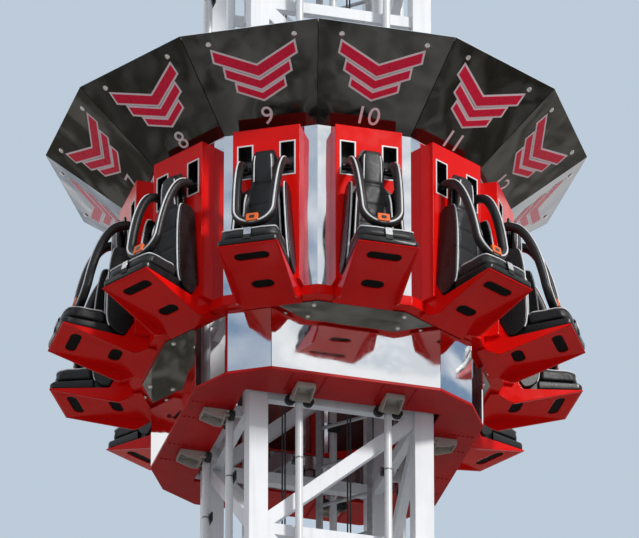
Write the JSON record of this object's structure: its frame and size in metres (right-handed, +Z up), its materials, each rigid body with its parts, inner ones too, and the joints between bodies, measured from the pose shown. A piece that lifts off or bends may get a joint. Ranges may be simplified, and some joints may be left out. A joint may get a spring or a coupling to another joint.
{
  "type": "drop tower ride",
  "caption": "Drop tower ride: a white lattice mast and a ring carriage of outward-facing seats with hinged padded restraints that slides along it.",
  "frame": {"origin": "centre of the base frame's underside", "axes": "+Z up along the mast, -Y out of the front face, +X to the right seen from the front; seat 1 faces +X and the seats count anticlockwise from above"},
  "size_m": [3.502, 3.502, 12.4368],
  "materials": {
    "mast_white": "semi-gloss",
    "rail_white": "semi-gloss",
    "dark_steel": "satin",
    "cable_steel": "satin",
    "galvanised": "matte",
    "ring_red": "gloss",
    "frame_dark_red": "satin",
    "panel_red": "gloss",
    "mirror_sheet": "polished",
    "canopy_black": "gloss",
    "smoked_sheet": "gloss",
    "bracket_brown": "satin",
    "roller_rubber": "matte",
    "seat_black": "satin",
    "cushion_black": "soft",
    "restraint_foam": "soft"
  },
  "bodies": {
    "mast": {"base_frame": "mast_white", "mast_columns": "mast_white", "bracing_front": "mast_white", "bracing_right": "mast_white", "bracing_back": "mast_white", "bracing_left": "mast_white", "guide_rails_front": "rail_white", "guide_rails_right": "rail_white", "guide_rails_back": "rail_white", "guide_rails_left": "rail_white", "mast_head": "mast_white", "head_sheaves": "dark_steel", "lift_cables": "cable_steel", "ladder": "galvanised"},
    "carriage": {"bottom_ring": "ring_red", "top_ring": "frame_dark_red", "ring_posts": "frame_dark_red", "mirror_strips": "mirror_sheet", "seat_panels": "panel_red", "canopy_panels": "canopy_black", "canopy_ribs": "dark_steel", "lower_plate": "frame_dark_red", "plate_hangers": "frame_dark_red", "mirror_skirt": "mirror_sheet", "smoked_panels": "smoked_sheet", "roller_brackets": "bracket_brown", "guide_rollers": "roller_rubber", "seat_pods": "panel_red", "seat_backs": "seat_black", "seat_wings": "seat_black", "seat_bases": "seat_black", "seat_cushions": "cushion_black", "back_cushions": "cushion_black", "pivot_shafts": "cable_steel"},
    "restraint_01": {"restraint_01": "restraint_foam"},
    "restraint_02": {"restraint_02": "restraint_foam"},
    "restraint_03": {"restraint_03": "restraint_foam"},
    "restraint_04": {"restraint_04": "restraint_foam"},
    "restraint_05": {"restraint_05": "restraint_foam"},
    "restraint_06": {"restraint_06": "restraint_foam"},
    "restraint_07": {"restraint_07": "restraint_foam"},
    "restraint_08": {"restraint_08": "restraint_foam"},
    "restraint_09": {"restraint_09": "restraint_foam"},
    "restraint_10": {"restraint_10": "restraint_foam"},
    "restraint_11": {"restraint_11": "restraint_foam"},
    "restraint_12": {"restraint_12": "restraint_foam"}
  },
  "joints": [
    {"name": "carriage_slide", "type": "slide", "parent": "mast", "child": "carriage", "axis": [0, 0, 1], "range_m": [-4.3, 4.28]},
    {"name": "restraint_01_hinge", "type": "hinge", "parent": "carriage", "child": "restraint_01", "pos_m": [1.23897, 0, 6.39], "axis": [0, -1, 0], "range_deg": [0, 80]},
    {"name": "restraint_02_hinge", "type": "hinge", "parent": "carriage", "child": "restraint_02", "pos_m": [1.07298, 0.61949, 6.39], "axis": [0.5, -0.866, 0], "range_deg": [0, 80]},
    {"name": "restraint_03_hinge", "type": "hinge", "parent": "carriage", "child": "restraint_03", "pos_m": [0.61949, 1.07298, 6.39], "axis": [0.866, -0.5, 0], "range_deg": [0, 80]},
    {"name": "restraint_04_hinge", "type": "hinge", "parent": "carriage", "child": "restraint_04", "pos_m": [0, 1.23897, 6.39], "axis": [1, 0, 0], "range_deg": [0, 80]},
    {"name": "restraint_05_hinge", "type": "hinge", "parent": "carriage", "child": "restraint_05", "pos_m": [-0.61949, 1.07298, 6.39], "axis": [0.866, 0.5, 0], "range_deg": [0, 80]},
    {"name": "restraint_06_hinge", "type": "hinge", "parent": "carriage", "child": "restraint_06", "pos_m": [-1.07298, 0.61949, 6.39], "axis": [0.5, 0.866, 0], "range_deg": [0, 80]},
    {"name": "restraint_07_hinge", "type": "hinge", "parent": "carriage", "child": "restraint_07", "pos_m": [-1.23897, 0, 6.39], "axis": [0, 1, 0], "range_deg": [0, 80]},
    {"name": "restraint_08_hinge", "type": "hinge", "parent": "carriage", "child": "restraint_08", "pos_m": [-1.07298, -0.61949, 6.39], "axis": [-0.5, 0.866, 0], "range_deg": [0, 80]},
    {"name": "restraint_09_hinge", "type": "hinge", "parent": "carriage", "child": "restraint_09", "pos_m": [-0.61949, -1.07298, 6.39], "axis": [-0.866, 0.5, 0], "range_deg": [0, 80]},
    {"name": "restraint_10_hinge", "type": "hinge", "parent": "carriage", "child": "restraint_10", "pos_m": [0, -1.23897, 6.39], "axis": [-1, 0, 0], "range_deg": [0, 80]},
    {"name": "restraint_11_hinge", "type": "hinge", "parent": "carriage", "child": "restraint_11", "pos_m": [0.61949, -1.07298, 6.39], "axis": [-0.866, -0.5, 0], "range_deg": [0, 80]},
    {"name": "restraint_12_hinge", "type": "hinge", "parent": "carriage", "child": "restraint_12", "pos_m": [1.07298, -0.61949, 6.39], "axis": [-0.5, -0.866, 0], "range_deg": [0, 80]}
  ]
}
